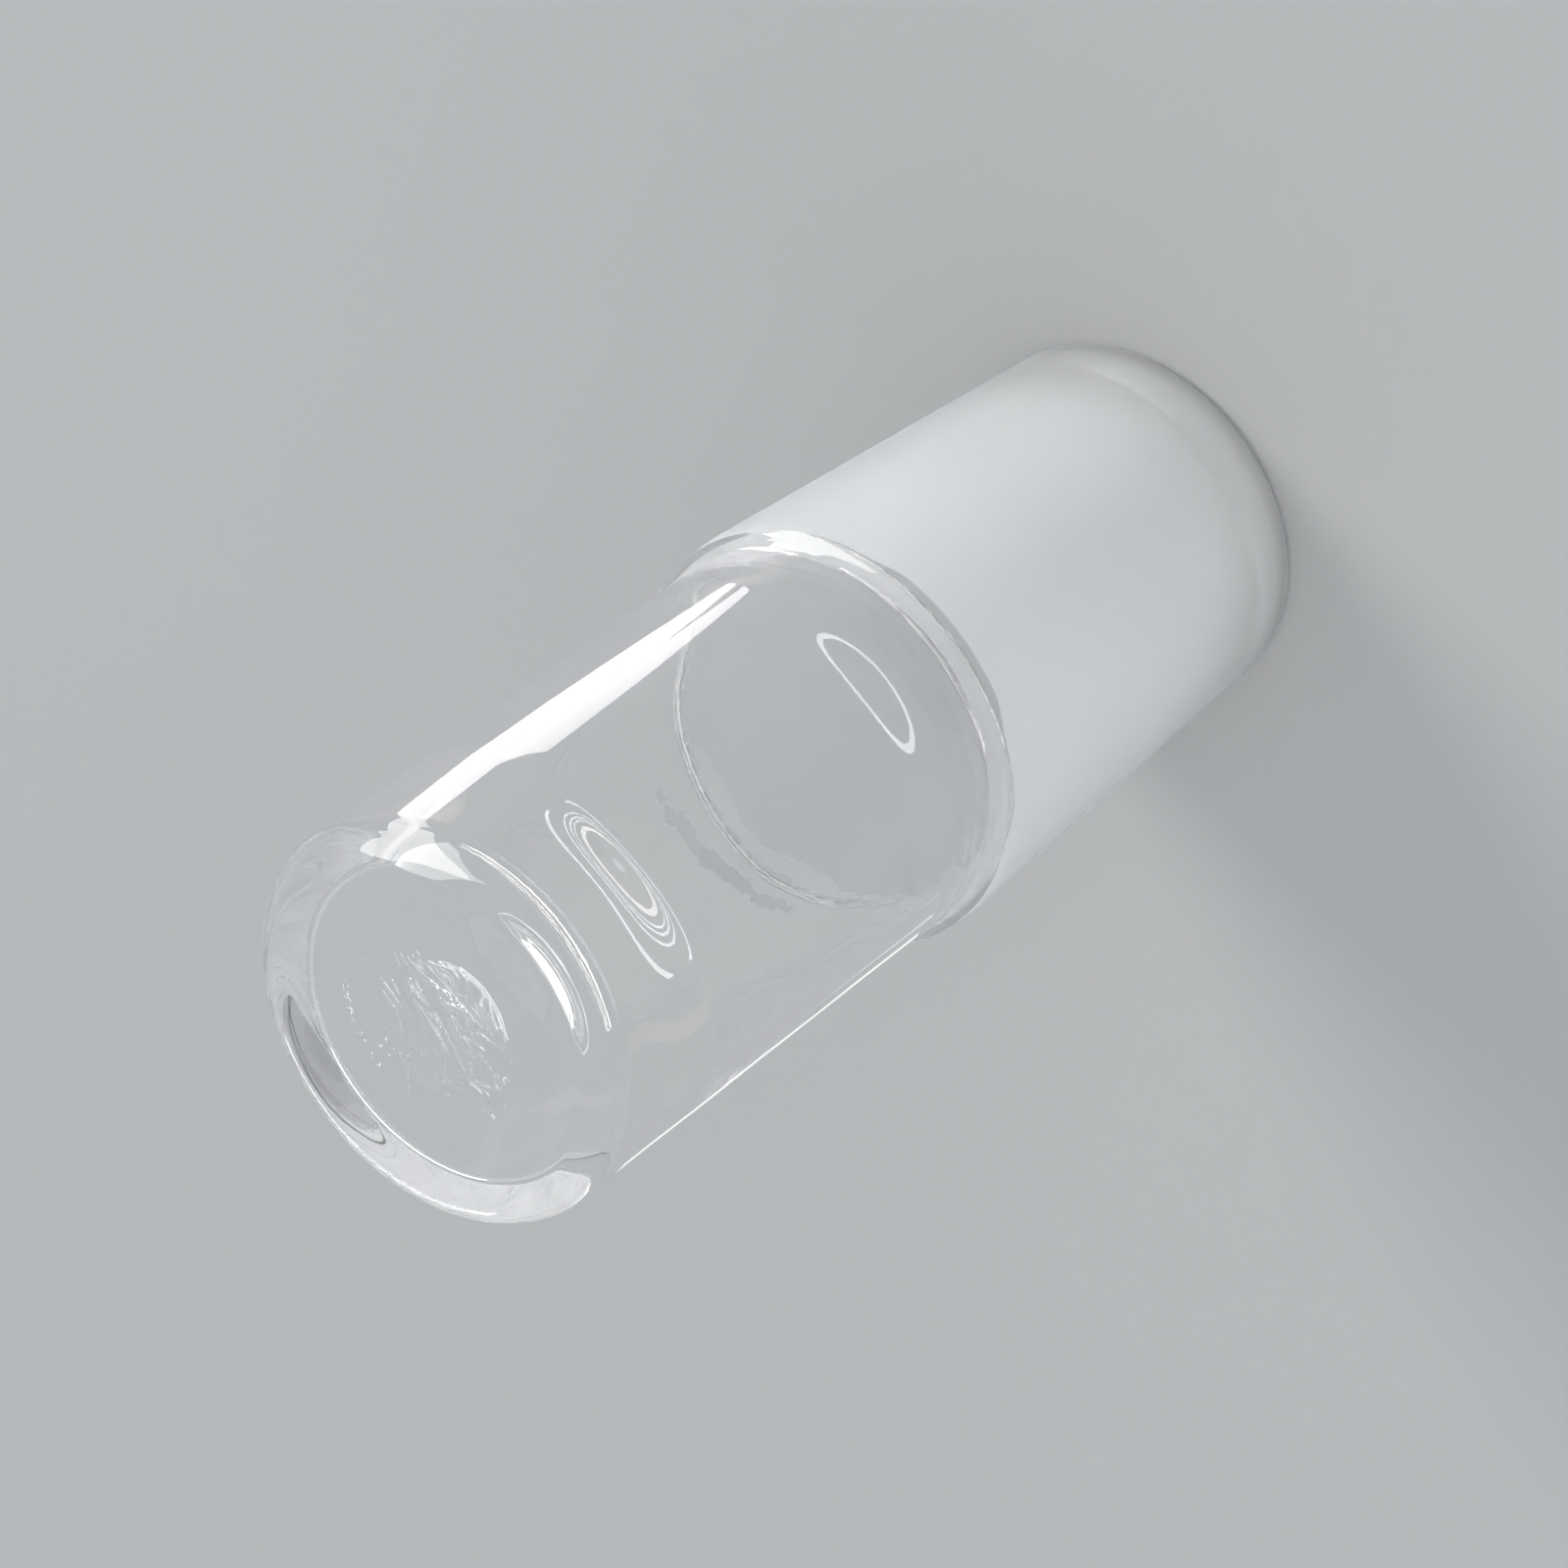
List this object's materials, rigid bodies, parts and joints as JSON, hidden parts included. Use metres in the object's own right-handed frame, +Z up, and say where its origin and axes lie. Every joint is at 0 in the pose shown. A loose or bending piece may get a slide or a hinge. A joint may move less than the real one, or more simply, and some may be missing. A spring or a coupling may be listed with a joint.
{
  "type": "glass stopper",
  "caption": "Hollow glass stopper for a standard ground joint: frosted tapered cone, open at its small end, under a clear tubular handle with a flat closed head.",
  "frame": {"origin": "centre of the open rim of the small end, which the stopper stands on", "axes": "+Z up the axis of the stopper, from the small end of the ground cone to the head; X and Y are any two directions square to it"},
  "size_m": [0.024, 0.024, 0.0625],
  "materials": {
    "glass": "clear and fire-polished on the handle and inside, fine ground white on the outside of the cone"
  },
  "bodies": {
    "root": {"stopper": "glass"}
  },
  "joints": []
}
